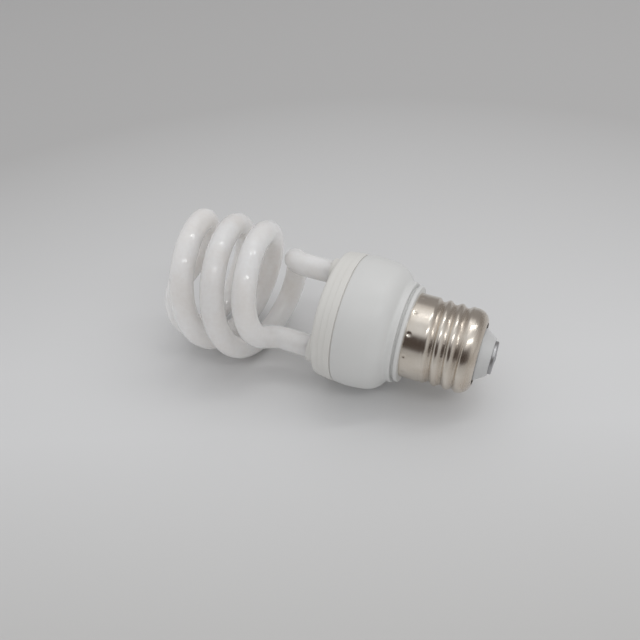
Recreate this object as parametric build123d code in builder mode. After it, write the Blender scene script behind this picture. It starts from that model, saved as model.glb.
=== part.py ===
from build123d import *
import os
from math import acos, asin, cos, degrees, pi, radians, sin, sqrt

os.makedirs("parts", exist_ok=True)

# Spiral compact fluorescent bulb, lying along X. The face of the centre contact is at X = 0;
# the screw cap, the ballast housing, the tube holder and the glass coil follow towards -X.
# Millimetres. A place across the lamp is a radius and an angle from +Y towards +Z.

# Screw cap, the common Edison size
thread_root_d = 24.2
thread_depth = 1.0
thread_d = thread_root_d + 2 * thread_depth
thread_pitch = 3.629
thread_crests = 2
thread_ridge_width = 3.2
thread_relief = 0.04
shell_wall = 0.45
cap_length = 25.4
skirt_length = 5.6
skirt_step = 0.7
bead_height = 0.85
bead_d = thread_root_d + 2 * bead_height
bead_back = 8.4
bead_rise = 1.1
rim_drop = 4.65
rim_d = bead_d - 2 * rim_drop
rim_back = 4.5
rim_lap = 0.25

# Insulator and centre contact
insulator_fit = 0.05
insulator_depth = 4.3
insulator_step = 0.4
insulator_nose_drop = 2.6
insulator_nose_d = rim_d - 2 * insulator_nose_drop
contact_margin = 0.7
contact_d = insulator_nose_d - 2 * contact_margin
contact_t = 1.0
contact_edge = 0.35
contact_hole_r = 1.0
wire_recess = 0.35
cap_wire_r = 0.45

# Ballast housing
case_length = 18.6
case_d = 40.8
belly_swell = 0.25
belly_d = case_d + 2 * belly_swell
belly_back = 3.4
case_wall = 1.6
shoulder_radius = 7.1
shoulder_centre_back = 10.4
shoulder_drop = 7.4
shoulder_centre_r = case_d / 2 - shoulder_drop
shoulder_from = 10
collar_d = 31.5
shoulder_foot = 0.62693
shoulder_to = degrees(acos((collar_d / 2 + shoulder_foot - shoulder_centre_r) / shoulder_radius))
collar_length = 1.7
groove_depth = 1.05
groove_d = collar_d - 2 * groove_depth
groove_width = 0.6
lip_height = 0.3
lip_d = groove_d + 2 * lip_height
lip_length = 1.3
neck_wall = 1.6
neck_floor = 1.6
spigot_fit = 0.1
spigot_length = 4.4
notch_width = 1.3
notch_depth = 1.1
rib_count = 6
rib_width = 1.4
rib_depth = 1.6
rib_length = 5.8
rib_first_angle = 5
rib_fit = 0.05
edge_bevel = 0.25

# Tube holder, the cover that closes the housing and carries the glass
holder_depth = 6.7
holder_round = 3.3
holder_wall = 1.6
tongue_fit = 0.15
tongue_wall = 1.3
tongue_length = 3.0
tongue_root = 2.0
snap_height = 0.4
snap_width = 0.9
snap_back = 1.5
snap_fit = 0.1
boss_wall = 0.75
boss_height = 4.3
socket_wall = 1.65
socket_depth = 4.3
cement_wall = 0.85
cement_depth = 2.0

# Glass coil: two strands, each wound from its own leg, joined by an S across the far end
tube_d = 7.4
tube_fit = 0.15
leg_circle_r = 12.3
leg_angle = 44
leg_reach = 18.2
leg_tail = 0.8
leg_bend_rise = 5.2
coil_r = 19.55
coil_pitch = 21.4
coil_travel = 505
coil_ease = 90
coil_first = 18
coil_steps = 20
bridge_inset = 0.275
bridge_r = coil_r / 2 - bridge_inset
bridge_rise = 3.3
bridge_steps = 8
exhaust_tip_r = 1.3
exhaust_tip_length = 2.0

# Circuit board and its joints
board_t = 1.6
board_fit = 0.4
lead_d = 0.6
lead_tail = 1.2
post_side = 0.9
post_circle_r = 15.0
post_spread = 25
post_length = 3.2
post_stub = 0.9
filament_spread = 1.9
filament_wire_d = 0.5
filament_rise = 0.8
wrap_d = 1.9
wrap_length = 1.3
wrap_back = 0.6

# Parts on the board: places are (Y, Z), turns are degrees
stand_off = 0.3
hairpin_reach = 2.4
hairpin_rise = 0.9
choke_place = (0, -5.0)
choke_width = 13.0
choke_thickness = 5.8
choke_height = 13.0
choke_yoke = 1.8
choke_limb = 1.5
choke_core_limb = 3.4
bobbin_depth = 10.4
bobbin_wall = 0.8
bobbin_fit = 0.15
bobbin_pin_inset = 1.3
winding_margin = 0.35
bulk_neck_gap = 1.0
bulk_d = 8.5
bulk_height = 16.0
bulk_rim = 0.5
bulk_groove_back = 2.0
bulk_groove_width = 1.0
bulk_groove_depth = 0.5
bulk_top_d = 6.6
bulk_top_depth = 0.25
bulk_lead_pitch = 3.5
toroid_place = (-11.2, 1.6)
toroid_d = 9.0
toroid_hole_d = 4.6
toroid_height = 4.2
toroid_loops = 9
toroid_lead_loops = (0, 2, 6, 8)
wire_fit = 0.03
film_lead_inset = 1.0
film_round = 0.8
resonant_place = (-9.8, -8.8)
resonant_size = (4.6, 9.0, 7.4)
resonant_turn = 222
blocking_place = (9.5, 8.6)
blocking_size = (3.6, 7.0, 6.5)
blocking_turn = 42
drum_place = (11.6, -4.0)
drum_d = 6.0
drum_height = 7.4
drum_flange = 1.0
drum_waist_d = 3.0
drum_winding_d = 5.4
drum_lead_pitch = 3.0
transistor_circle_r = 14.4
transistor_angles = (100, 126)
transistor_d = 4.6
transistor_depth = 3.6
transistor_height = 4.8
transistor_stand = 1.6
transistor_lead_pitch = 1.9
diode_circle_r = 15.2
diode_angles = (262, 276, 290, 304)
diode_d = 2.7
diode_length = 5.2
resistor_places = ((11.5, -9.9), (-12.6, 8.8))
resistor_turns = (180, 230)
resistor_d = 2.4
resistor_length = 6.0
diac_place = (2.1, 14.8)
diac_turn = 250
diac_d = 1.9
diac_length = 4.0
fusible_place = (15.05, 2.1)
fusible_turn = 160
fusible_d = 3.2
fusible_length = 6.2
body_bevel = 0.3

# Wires from the board to the cap
centre_wire_place = (7.6, 3.4)
centre_wire_turn_back = 4.9
centre_wire_axis_back = 12.9
centre_wire_round = 2.5
shell_wire_d = 0.7
shell_wire_circle_r = 8.65
shell_wire_angle = 130
shell_wire_over = 0.6
shell_wire_round = 0.6
notch_end_wall = 0.8

# Places worked out from the sizes
thread_r = thread_d / 2
root_r = thread_root_d / 2
bead_r = bead_d / 2
rim_r = rim_d / 2
tube_r = tube_d / 2
lead_r = lead_d / 2
shell_wire_r = shell_wire_d / 2
case_r = case_d / 2
shell_start_x = -cap_length
skirt_end_x = shell_start_x + skirt_length
bead_x = -bead_back
rim_x = -rim_back
cap_shoulder_r = ((rim_x - bead_x) ** 2 + (bead_r - rim_r) ** 2) / (2 * (bead_r - rim_r))
parting_x = shell_start_x - case_length
holder_face_x = parting_x - holder_depth
case_inner_r = case_r - case_wall
spigot_r = thread_r - shell_wall - spigot_fit
spigot_end_x = shell_start_x + spigot_length
neck_bore_r = spigot_r - neck_wall
bulk_place = (0, neck_bore_r - bulk_d / 2 - bulk_neck_gap)
tongue_r = case_inner_r - tongue_fit
tongue_inner_r = tongue_r - tongue_wall
board_r = case_inner_r - board_fit
board_back_x = parting_x + tongue_length
board_front_x = board_back_x + board_t
socket_end_x = holder_face_x + socket_depth
leg_end_x = socket_end_x + leg_tail
coil_start_x = holder_face_x - leg_reach


def around(radius, angle):
    """Y and Z of a place at a radius and an angle round the lamp's axis."""
    return radius * cos(radians(angle)), radius * sin(radians(angle))


def shifted(place, distance, angle):
    """A place moved across the lamp by a distance at an angle."""
    step = around(distance, angle)
    return place[0] + step[0], place[1] + step[1]


def row(place, pitch, turn, count=2):
    """Places in a straight row about a middle, pitch apart."""
    first = -(count - 1) / 2
    return [shifted(place, (first + index) * pitch, turn) for index in range(count)]


def save(part, name):
    """Label a finished piece and write it under that name."""
    part.label = name
    export_step(part, f"parts/{name}.step")


def rods(low_x, high_x, radius, places=((0, 0),)):
    """Cylinders along X between two planes, one at each place."""
    with BuildPart() as cylinders:
        with BuildSketch(Plane.YZ.offset(low_x)):
            with Locations(*places):
                Circle(radius)
        extrude(amount=high_x - low_x)
    return cylinders.part


def block(low_x, high_x, width, depth, place=(0, 0), turn=0):
    """Box along X between two planes, turned about its own middle."""
    with BuildPart() as box:
        with BuildSketch(Plane.YZ.offset(low_x)):
            with Locations(Location((*place, 0), turn)):
                Rectangle(width, depth)
        extrude(amount=high_x - low_x)
    return box.part


def turned(outline, places=((0, 0),)):
    """Round bodies along X from an outline of X and radius, one at each place."""
    with BuildPart() as blank:
        with BuildSketch(Plane.XY):
            with BuildLine():
                Polyline(*outline, close=True)
            make_face()
        revolve(axis=Axis.X)
    with BuildPart() as bodies:
        with Locations(*[(0, *place) for place in places]):
            add(blank.part)
    return bodies.part


def wire_along(points, radius, bend=0):
    """Round wire along straight runs, with rounded bends or with plain corners."""
    with BuildPart() as wire:
        with BuildLine() as route:
            if bend:
                FilletPolyline(*points, radius=bend)
            else:
                Polyline(*points)
        with BuildSketch(Plane(origin=route.line @ 0, z_dir=route.line % 0)):
            Circle(radius)
        sweep(transition=Transition.RIGHT)
    return wire.part


# Screw cap shell
def cap_section(inset, back_x):
    """Half section of the cap's outline, drawn in by an inset and closed to the axis."""
    root = root_r - inset
    bead = bead_r - inset
    arc_r = cap_shoulder_r - inset
    arc_centre = bead_r - cap_shoulder_r
    drop = acos((rim_x - bead_x) / cap_shoulder_r)
    rim = (bead_x + arc_r * cos(drop), arc_centre - arc_r * sin(drop))
    side = sqrt(0.5) * arc_r
    with BuildSketch(Plane.XY) as section:
        with BuildLine():
            if back_x < skirt_end_x:
                skirt = thread_r - inset
                Polyline((back_x, 0), (back_x, skirt), (skirt_end_x, skirt),
                         (skirt_end_x + skirt_step, root), (bead_x - bead_rise, root))
            else:
                Polyline((back_x, 0), (back_x, root), (bead_x - bead_rise, root))
            ThreePointArc((bead_x - bead_rise, root),
                          (bead_x - 0.55 * bead_rise, root + 0.75 * (bead - root)), (bead_x, bead))
            ThreePointArc((bead_x, bead), (bead_x + side, arc_centre + side), rim)
            Polyline(rim, (rim[0], 0), (back_x, 0))
        make_face()
    return section.sketch


shell_outside = cap_section(0, shell_start_x)
shell_inside = cap_section(shell_wall, shell_start_x)
rim_hole_r = rim_r - rim_lap
rim_hole = rods(rim_x - 1, rim_x + 1, rim_hole_r)
with BuildPart() as screw_shell:
    add(shell_outside)
    with BuildSketch(Plane.XY):
        for crest_x in [bead_x - thread_pitch * (index + 1) for index in range(thread_crests)]:
            with BuildLine():
                foot = (crest_x - thread_ridge_width / 2, root_r - shell_wall / 2)
                toe = (crest_x + thread_ridge_width / 2, root_r - shell_wall / 2)
                ThreePointArc(foot, (crest_x, thread_r - thread_relief), toe)
                Line(toe, foot)
            make_face()
    revolve(axis=Axis.X)
    add(shell_inside)
    revolve(axis=Axis.X, mode=Mode.SUBTRACT)
    add(rim_hole, mode=Mode.SUBTRACT)
save(screw_shell.part, "screw_shell")

# Insulator between the shell and the centre contact
insulator_inside = cap_section(shell_wall + insulator_fit, rim_x - insulator_depth)
wire_hole = rods(rim_x - insulator_depth, 0, contact_hole_r)
with BuildPart() as cap_insulator:
    add(insulator_inside)
    with BuildSketch(Plane.XY):
        with BuildLine():
            nose_r = insulator_nose_d / 2
            base_r = rim_hole_r - insulator_fit
            Polyline((rim_x - insulator_step * 2, 0), (rim_x - insulator_step * 2, base_r),
                     (rim_x + insulator_step, base_r), (-contact_t, nose_r), (-contact_t, 0), close=True)
        make_face()
    revolve(axis=Axis.X)
    add(wire_hole, mode=Mode.SUBTRACT)
save(cap_insulator.part, "cap_insulator")

# Centre contact and the solder that holds its wire
contact_blank = rods(-contact_t, 0, contact_d / 2)
with BuildPart() as centre_contact:
    add(contact_blank)
    fillet(centre_contact.edges().filter_by(GeomType.CIRCLE).sort_by(Axis.X)[-1], contact_edge)
    add(wire_hole, mode=Mode.SUBTRACT)
save(centre_contact.part, "centre_contact")

solder_plug = rods(-contact_t, 0, contact_hole_r)
wire_seat = rods(-contact_t, -wire_recess, cap_wire_r)
with BuildPart() as contact_solder:
    add(solder_plug)
    add(wire_seat, mode=Mode.SUBTRACT)
save(contact_solder.part, "contact_solder")


# Ballast housing
def shoulder(angle, inset):
    """Place on the housing's shoulder arc at an angle from its crown, drawn in by an inset."""
    reach = shoulder_radius - inset
    centre_x = shell_start_x - shoulder_centre_back
    return centre_x + reach * sin(radians(angle)), shoulder_centre_r + reach * cos(radians(angle))


lip_x = shell_start_x - lip_length
groove_x = lip_x - groove_width
collar_x = groove_x - collar_length
collar_inner_r = groove_d / 2 - neck_wall
shoulder_mid = (shoulder_from + shoulder_to) / 2
inner_end = shoulder(shoulder_to, case_wall)
inner_drop = (inner_end[1] - collar_inner_r) / sin(radians(shoulder_to)) * cos(radians(shoulder_to))
ribs = [block(board_front_x + rib_fit, board_front_x + rib_fit + rib_length, rib_depth + case_wall / 2,
              rib_width, around(case_inner_r - rib_depth / 2 + case_wall / 4, angle), angle)
        for angle in [rib_first_angle + 360 * index / rib_count for index in range(rib_count)]]
wire_notch = block(shell_start_x + notch_end_wall, spigot_end_x, 2 * notch_depth, notch_width,
                   around(spigot_r, shell_wire_angle), shell_wire_angle)
with BuildPart() as ballast_housing:
    with BuildSketch(Plane.XY):
        with BuildLine():
            Polyline((parting_x, 0), (parting_x, case_r - edge_bevel), (parting_x + edge_bevel, case_r))
            ThreePointArc((parting_x + edge_bevel, case_r), (parting_x + belly_back, belly_d / 2),
                          shoulder(shoulder_from, 0))
            ThreePointArc(shoulder(shoulder_from, 0), shoulder(shoulder_mid, 0), shoulder(shoulder_to, 0))
            Polyline(shoulder(shoulder_to, 0), (collar_x, collar_d / 2),
                     (groove_x - edge_bevel, collar_d / 2), (groove_x, collar_d / 2 - edge_bevel),
                     (groove_x, groove_d / 2), (lip_x, groove_d / 2), (lip_x + edge_bevel, lip_d / 2),
                     (shell_start_x - edge_bevel, lip_d / 2), (shell_start_x, lip_d / 2 - edge_bevel),
                     (shell_start_x, spigot_r), (spigot_end_x, spigot_r), (spigot_end_x, 0),
                     (parting_x, 0))
        make_face()
    revolve(axis=Axis.X)
    with BuildSketch(Plane.XY):
        with BuildLine():
            Polyline((parting_x, 0), (parting_x, case_inner_r))
            ThreePointArc((parting_x, case_inner_r), (parting_x + belly_back, belly_d / 2 - case_wall),
                          shoulder(shoulder_from, case_wall))
            ThreePointArc(shoulder(shoulder_from, case_wall), shoulder(shoulder_mid, case_wall), inner_end)
            Polyline(inner_end, (inner_end[0] + inner_drop, collar_inner_r),
                     (shell_start_x - neck_floor, collar_inner_r), (shell_start_x - neck_floor, neck_bore_r),
                     (spigot_end_x, neck_bore_r), (spigot_end_x, 0), (parting_x, 0))
        make_face()
    revolve(axis=Axis.X, mode=Mode.SUBTRACT)
    with BuildSketch(Plane.XY):
        with Locations((parting_x + snap_back, case_inner_r)):
            Rectangle(snap_width + 2 * snap_fit, 2 * (snap_height - tongue_fit + snap_fit))
    revolve(axis=Axis.X, mode=Mode.SUBTRACT)
    add(ribs)
    add(wire_notch, mode=Mode.SUBTRACT)
save(ballast_housing.part, "ballast_housing")

# Tube holder
leg_places = [around(leg_circle_r, leg_angle), around(leg_circle_r, leg_angle + 180)]
bosses = rods(holder_face_x - boss_height, holder_face_x + holder_wall, tube_r + tube_fit + boss_wall,
              leg_places)
sockets = rods(holder_face_x + holder_wall, socket_end_x, tube_r + tube_fit + socket_wall, leg_places)
leg_bores = rods(holder_face_x - boss_height, socket_end_x, tube_r + tube_fit, leg_places)
cement_bores = rods(socket_end_x - cement_depth, socket_end_x, tube_r + cement_wall, leg_places)
leg_rods = rods(socket_end_x - cement_depth, socket_end_x, tube_r, leg_places)
with BuildPart() as tube_holder:
    with BuildSketch(Plane.XY):
        with BuildLine():
            face_r = case_r - holder_round
            inner_round = holder_round - holder_wall
            Polyline((holder_face_x + holder_wall, 0), (holder_face_x, 0), (holder_face_x, face_r))
            RadiusArc((holder_face_x, face_r), (holder_face_x + holder_round, case_r), holder_round)
            Polyline((holder_face_x + holder_round, case_r), (parting_x - edge_bevel, case_r),
                     (parting_x, case_r - edge_bevel), (parting_x, tongue_r),
                     (board_back_x, tongue_r), (board_back_x, tongue_inner_r),
                     (parting_x - tongue_root, tongue_inner_r), (parting_x - tongue_root, case_inner_r),
                     (holder_face_x + holder_round, case_inner_r))
            RadiusArc((holder_face_x + holder_round, case_inner_r),
                      (holder_face_x + holder_wall, face_r), -inner_round)
            Line((holder_face_x + holder_wall, face_r), (holder_face_x + holder_wall, 0))
        make_face()
    with BuildSketch(Plane.XY):
        with Locations((parting_x + snap_back, tongue_r)):
            Rectangle(snap_width, 2 * snap_height)
    revolve(axis=Axis.X)
    add(bosses)
    add(sockets)
    add(leg_bores, mode=Mode.SUBTRACT)
    add(cement_bores, mode=Mode.SUBTRACT)
save(tube_holder.part, "tube_holder")

with BuildPart() as leg_cement:
    add(cement_bores)
    add(leg_rods, mode=Mode.SUBTRACT)
save(leg_cement.part, "leg_cement")


# Discharge tube
def strand(travel):
    """Centre of the glass after it has wound a number of degrees away from its leg."""
    growth = sin(radians(90 * min(travel / coil_ease, 1)))
    radius = leg_circle_r + (coil_r - leg_circle_r) * growth
    return coil_start_x - coil_pitch * travel / 360, *around(radius, leg_angle - travel)


def bridge(share, lean):
    """Centre of the glass along the arc that turns from the coil to the axis."""
    end_angle = leg_angle - coil_travel
    turn = 90 + lean
    length = bridge_r * radians(turn)
    slope = coil_pitch / (2 * pi * coil_r)
    rise = slope * length * (share - share ** 2 / 2) + bridge_rise * (3 * share ** 2 - 2 * share ** 3)
    centre = around(coil_r - bridge_r, end_angle)
    return strand(coil_travel)[0] - rise, *shifted(centre, bridge_r, end_angle - turn * share)


bridge_lean = degrees(asin(bridge_r / (coil_r - bridge_r)))
coil_span = coil_travel - coil_first
coil_points = [strand(coil_first + coil_span * index / coil_steps) for index in range(coil_steps + 1)]
bridge_arc = [bridge((index + 1) / bridge_steps, bridge_lean) for index in range(bridge_steps)]
bridge_middle = (bridge_arc[-1][0], 0, 0)
coil_heading = (Vector(*strand(coil_first + 1)) - Vector(*strand(coil_first - 1))).normalized()
axis_heading = (Vector(*bridge_middle) - Vector(*bridge_arc[-1])).normalized()
leg_place = leg_places[0]
with BuildPart() as half_coil:
    with BuildLine() as strand_path:
        leg = Line((leg_end_x, *leg_place), (coil_points[0][0] + leg_bend_rise, *leg_place))
        Spline(leg @ 1, coil_points[0], tangents=(leg % 1, coil_heading))
        Spline(*coil_points, *bridge_arc, bridge_middle,
               tangents=(coil_heading, axis_heading), tangent_scalars=(1, 1))
    with BuildSketch(Plane(origin=leg @ 0, z_dir=leg % 0)):
        Circle(tube_r)
    sweep()
exhaust_tips = rods(leg_end_x, leg_end_x + exhaust_tip_length, exhaust_tip_r, leg_places)
with BuildPart() as discharge_tube:
    add(half_coil.part)
    add(half_coil.part, rotation=(180, 0, 0))
    add(exhaust_tips)
save(discharge_tube.part, "discharge_tube")

# Parts that stand on the circuit board, and the places where their leads pass through it
tail_x = board_back_x - lead_tail
stand_x = board_front_x + stand_off
lead_places = []


def leads(places, top_x):
    """Straight leads from above the board to their cut ends below it."""
    lead_places.extend(places)
    return rods(tail_x, top_x, lead_r, places)


def standing(diameter, length, places, turns):
    """Round parts on end, each with one straight lead and one bent down beside it."""
    radius = diameter / 2
    top_x = stand_x + length
    straight = leads(places, stand_x + body_bevel)
    bodies = turned([(stand_x, 0), (stand_x, radius - body_bevel), (stand_x + body_bevel, radius),
                     (top_x - body_bevel, radius), (top_x, radius - body_bevel), (top_x, 0)], places)
    with BuildPart() as parts:
        add(straight)
        add(bodies)
        for place, turn in zip(places, turns):
            side = shifted(place, hairpin_reach, turn)
            bent = wire_along([(top_x - body_bevel, *place), (top_x + hairpin_rise, *place),
                               (top_x + hairpin_rise, *side), (tail_x, *side)], lead_r)
            add(bent)
            lead_places.append(side)
    return parts.part


def film_capacitor(place, size, turn):
    """Dipped film capacitor: thickness and width across, height along X, two leads."""
    thickness, width, height = size
    wires = leads(row(place, width - 2 * film_lead_inset, turn + 90), stand_x)
    body = block(stand_x, stand_x + height, thickness, width, place, turn)
    with BuildPart() as capacitor:
        add(body)
        fillet(capacitor.edges().filter_by(Axis.X), film_round)
        chamfer(capacitor.faces().sort_by(Axis.X)[-1].edges(), body_bevel)
        add(wires)
    return capacitor.part


# Main choke
choke_x = board_front_x + choke_height
window_low_x = board_front_x + choke_yoke
window_high_x = choke_x - choke_yoke
window_width = (choke_width - choke_core_limb) / 2 - choke_limb
window_places = row(choke_place, choke_core_limb + window_width, 0)
core_blank = block(board_front_x, choke_x, choke_width, choke_thickness, choke_place)
with BuildPart() as choke_core:
    add(core_blank)
    for window_place in window_places:
        window = block(window_low_x, window_high_x, window_width, 2 * choke_thickness, window_place)
        add(window, mode=Mode.SUBTRACT)
save(choke_core.part, "choke_core")

tube_width = choke_core_limb + 2 * bobbin_fit
tube_thickness = choke_thickness + 2 * bobbin_fit
flange_width = choke_core_limb + 2 * (window_width - bobbin_fit)
bobbin_low_x = window_low_x + bobbin_fit
bobbin_high_x = window_high_x - bobbin_fit
bobbin_stock = block(bobbin_low_x, bobbin_high_x, flange_width, bobbin_depth, choke_place)
bobbin_bore = block(bobbin_low_x, bobbin_high_x, tube_width, tube_thickness, choke_place)
winding_space = block(bobbin_low_x + bobbin_wall, bobbin_high_x - bobbin_wall, flange_width, bobbin_depth,
                      choke_place)
bobbin_tube = block(bobbin_low_x, bobbin_high_x, tube_width + 2 * bobbin_wall,
                    tube_thickness + 2 * bobbin_wall, choke_place)
foot_block = block(board_front_x, bobbin_low_x, flange_width, bobbin_depth, choke_place)
foot_space = block(board_front_x, bobbin_low_x, flange_width, tube_thickness, choke_place)
pin_places = [place for middle in row(choke_place, (tube_thickness + bobbin_depth) / 2, 90)
              for place in row(middle, flange_width - 2 * bobbin_pin_inset, 0)]
bobbin_pins = leads(pin_places, bobbin_low_x)
with BuildPart() as choke_bobbin:
    add(bobbin_stock)
    add(winding_space, mode=Mode.SUBTRACT)
    add(bobbin_tube)
    add(foot_block)
    add(foot_space, mode=Mode.SUBTRACT)
    add(bobbin_bore, mode=Mode.SUBTRACT)
    add(bobbin_pins)
save(choke_bobbin.part, "choke_bobbin")

winding_stock = block(bobbin_low_x + bobbin_wall, bobbin_high_x - bobbin_wall,
                      flange_width - 2 * winding_margin, bobbin_depth - 2 * winding_margin, choke_place)
with BuildPart() as choke_winding:
    add(winding_stock)
    fillet(choke_winding.edges().filter_by(Axis.X), winding_margin)
    add(bobbin_tube, mode=Mode.SUBTRACT)
save(choke_winding.part, "choke_winding")

# Bulk capacitor
bulk_r = bulk_d / 2
bulk_x = stand_x + bulk_height
groove_low_x = stand_x + bulk_groove_back
groove_high_x = groove_low_x + bulk_groove_width
bulk_leads = leads(row(bulk_place, bulk_lead_pitch, 0), stand_x + bulk_rim)
bulk_can = turned([(stand_x, 0), (stand_x, bulk_r - bulk_rim), (stand_x + bulk_rim, bulk_r),
                   (groove_low_x, bulk_r),
                   ((groove_low_x + groove_high_x) / 2, bulk_r - bulk_groove_depth),
                   (groove_high_x, bulk_r), (bulk_x - bulk_rim, bulk_r), (bulk_x, bulk_r - bulk_rim),
                   (bulk_x, bulk_top_d / 2), (bulk_x - bulk_top_depth, bulk_top_d / 2),
                   (bulk_x - bulk_top_depth, 0)], [bulk_place])
with BuildPart() as bulk_capacitor:
    add(bulk_can)
    add(bulk_leads)
save(bulk_capacitor.part, "bulk_capacitor")

# Drive transformer: a small ring with its turns and leads
toroid_low_x = board_front_x + lead_d + wire_fit
toroid_high_x = toroid_low_x + toroid_height
toroid_blank = rods(toroid_low_x, toroid_high_x, toroid_d / 2, [toroid_place])
toroid_hole = rods(toroid_low_x, toroid_high_x, toroid_hole_d / 2, [toroid_place])
with BuildPart() as drive_ring:
    add(toroid_blank)
    add(toroid_hole, mode=Mode.SUBTRACT)
    chamfer(drive_ring.edges().filter_by(GeomType.CIRCLE), body_bevel)
save(drive_ring.part, "drive_ring")

ring_width = (toroid_d - toroid_hole_d) / 2
ring_mid_r = (toroid_d + toroid_hole_d) / 4
loop_angles = [360 * index / toroid_loops for index in range(toroid_loops)]
loop_lead_r = ring_mid_r + ring_width / 2 + wire_fit + lead_r
loop_leads = leads([shifted(toroid_place, loop_lead_r, loop_angles[index]) for index in toroid_lead_loops],
                   toroid_low_x)
with BuildPart() as drive_windings:
    for angle in loop_angles:
        middle = shifted(toroid_place, ring_mid_r, angle)
        loop = block(board_front_x, toroid_high_x + wire_fit + lead_d, ring_width + 2 * (wire_fit + lead_d),
                     lead_d, middle, angle)
        eye = block(toroid_low_x - wire_fit, toroid_high_x + wire_fit, ring_width + 2 * wire_fit,
                    2 * lead_d, middle, angle)
        add(loop)
        add(eye, mode=Mode.SUBTRACT)
    add(loop_leads)
save(drive_windings.part, "drive_windings")

# Film capacitors
resonant_capacitor = film_capacitor(resonant_place, resonant_size, resonant_turn)
save(resonant_capacitor, "resonant_capacitor")
blocking_capacitor = film_capacitor(blocking_place, blocking_size, blocking_turn)
save(blocking_capacitor, "blocking_capacitor")

# Mains filter choke
drum_r = drum_d / 2
drum_x = stand_x + drum_height
drum_leads = leads(row(drum_place, drum_lead_pitch, 90), stand_x)
drum_body = turned([(stand_x, 0), (stand_x, drum_r), (stand_x + drum_flange, drum_r),
                    (stand_x + drum_flange, drum_waist_d / 2), (drum_x - drum_flange, drum_waist_d / 2),
                    (drum_x - drum_flange, drum_r), (drum_x, drum_r), (drum_x, 0)], [drum_place])
with BuildPart() as filter_core:
    add(drum_body)
    add(drum_leads)
save(filter_core.part, "filter_core")

drum_turns = rods(stand_x + drum_flange, drum_x - drum_flange, drum_winding_d / 2, [drum_place])
drum_waist = rods(stand_x + drum_flange, drum_x - drum_flange, drum_waist_d / 2, [drum_place])
with BuildPart() as filter_winding:
    add(drum_turns)
    add(drum_waist, mode=Mode.SUBTRACT)
save(filter_winding.part, "filter_winding")

# Switching transistors
transistor_low_x = board_front_x + transistor_stand
transistor_high_x = transistor_low_x + transistor_height
with BuildPart() as transistors:
    for angle in transistor_angles:
        middle = around(transistor_circle_r, angle)
        flat_width = transistor_d - transistor_depth
        shaved = shifted(middle, -transistor_d / 2, angle)
        case = rods(transistor_low_x, transistor_high_x, transistor_d / 2, [middle])
        flat = block(transistor_low_x, transistor_high_x, 2 * flat_width, transistor_d, shaved, angle)
        legs = leads(row(middle, transistor_lead_pitch, angle + 90, 3), transistor_low_x)
        add(case)
        add(flat, mode=Mode.SUBTRACT)
        add(legs)
save(transistors.part, "transistors")

# Parts on end
rectifier_diodes = standing(diode_d, diode_length, [around(diode_circle_r, angle) for angle in diode_angles],
                            [angle + 180 for angle in diode_angles])
save(rectifier_diodes, "rectifier_diodes")
start_resistors = standing(resistor_d, resistor_length, list(resistor_places), resistor_turns)
save(start_resistors, "start_resistors")
trigger_diac = standing(diac_d, diac_length, [diac_place], [diac_turn])
save(trigger_diac, "trigger_diac")
fusible_resistor = standing(fusible_d, fusible_length, [fusible_place], [fusible_turn])
save(fusible_resistor, "fusible_resistor")

# Wires to the cap
centre_wire = wire_along([(tail_x, *centre_wire_place),
                          (shell_start_x + centre_wire_turn_back, *centre_wire_place),
                          (shell_start_x + centre_wire_axis_back, 0, 0), (-wire_recess, 0, 0)],
                         cap_wire_r, centre_wire_round)
save(centre_wire, "centre_wire")

shell_wire_place = around(shell_wire_circle_r, shell_wire_angle)
notch_place = around(spigot_r - shell_wire_r, shell_wire_angle)
fold_x = spigot_end_x + shell_wire_over
shell_wire = wire_along([(tail_x, *shell_wire_place), (fold_x, *shell_wire_place), (fold_x, *notch_place),
                         (shell_start_x + notch_end_wall, *notch_place)], shell_wire_r, shell_wire_round)
save(shell_wire, "shell_wire")

# Wrap posts and the filament wires wound on them
post_angles = [leg_angle + half_turn + side * post_spread for half_turn in (0, 180) for side in (-1, 1)]
post_places = [around(post_circle_r, angle) for angle in post_angles]
with BuildPart() as wrap_posts:
    for place, angle in zip(post_places, post_angles):
        post = block(board_back_x - post_length, board_front_x + post_stub, post_side, post_side, place, angle)
        add(post)
save(wrap_posts.part, "wrap_posts")

wrap_low_x = board_back_x - post_length + wrap_back
with BuildPart() as filament_leads:
    for index, place in enumerate(post_places):
        leg_turn = leg_angle + 180 * (index // 2)
        start = shifted(leg_places[index // 2], filament_spread * (2 * (index % 2) - 1), leg_turn + 90)
        wire = wire_along([(leg_end_x, *start), (leg_end_x + filament_rise, *start),
                           (wrap_low_x + filament_wire_d, *place)], filament_wire_d / 2)
        wrap = rods(wrap_low_x, wrap_low_x + wrap_length, wrap_d / 2, [place])
        add(wire)
        add(wrap)
    add(wrap_posts.part, mode=Mode.SUBTRACT)
save(filament_leads.part, "filament_leads")

# Circuit board
wire_ways = [rods(board_back_x, board_front_x, radius, places)
             for radius, places in ((lead_r, lead_places), (cap_wire_r, [centre_wire_place]),
                                    (shell_wire_r, [shell_wire_place]))]
board_disc = rods(board_back_x, board_front_x, board_r)
with BuildPart() as circuit_board:
    add(board_disc)
    add(wire_ways, mode=Mode.SUBTRACT)
    add(wrap_posts.part, mode=Mode.SUBTRACT)
save(circuit_board.part, "circuit_board")
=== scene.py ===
"""Looks of a spiral compact fluorescent bulb that lies on a pale studio floor."""

import logging
import math
from dataclasses import dataclass, field
from enum import Enum
from typing import Any, Iterable, Sequence

import bmesh
import bpy
import numpy as np
from mathutils import Matrix, Vector


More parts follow.
